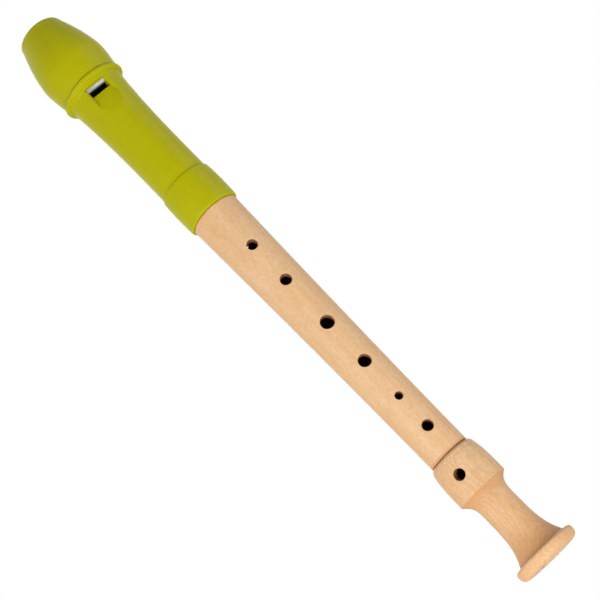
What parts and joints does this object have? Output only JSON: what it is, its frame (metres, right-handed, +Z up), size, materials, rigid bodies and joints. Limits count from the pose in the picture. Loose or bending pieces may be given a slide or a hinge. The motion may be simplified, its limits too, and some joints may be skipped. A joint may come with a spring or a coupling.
{
  "type": "soprano recorder",
  "caption": "Soprano recorder: moulded plastic head with beak, window and ramped lip, turned wooden middle joint with finger holes, and a flared wooden foot.",
  "frame": {"origin": "centre of the foot joint's flat end face, on the bore's axis", "axes": "+Z up the bore's axis from the foot to the beak; -Y is the front, where the window and the finger holes are; +X is the right-hand side seen from the front"},
  "size_m": [0.0326, 0.0326, 0.32],
  "materials": {
    "head_plastic": "lime green moulded plastic, satin",
    "block_plastic": "light grey moulded plastic, satin",
    "body_wood": "pale fine-grained hardwood, oiled satin",
    "foot_wood": "pale fine-grained hardwood, oiled satin",
    "cork": "natural cork, waxed"
  },
  "bodies": {
    "foot": {"foot_joint": "foot_wood"},
    "foot_cork": {"foot_tenon_cork": "cork"},
    "middle": {"middle_joint": "body_wood"},
    "head_cork": {"head_tenon_cork": "cork"},
    "head": {"head_joint": "head_plastic", "windway_block": "block_plastic"}
  },
  "joints": [
    {"name": "foot_pull", "type": "slide", "parent": "foot", "child": "foot_cork", "axis": [0, 0, 1], "range_m": [0, 0.012]},
    {"name": "foot_turn", "type": "hinge", "parent": "foot_cork", "child": "middle", "pos_m": [0, 0, 0.055], "axis": [0, 0, 1], "continuous": true},
    {"name": "head_turn", "type": "hinge", "parent": "middle", "child": "head_cork", "pos_m": [0, 0, 0.21], "axis": [0, 0, 1], "continuous": true},
    {"name": "head_pull", "type": "slide", "parent": "head_cork", "child": "head", "axis": [0, 0, 1], "range_m": [0, 0.03]}
  ]
}
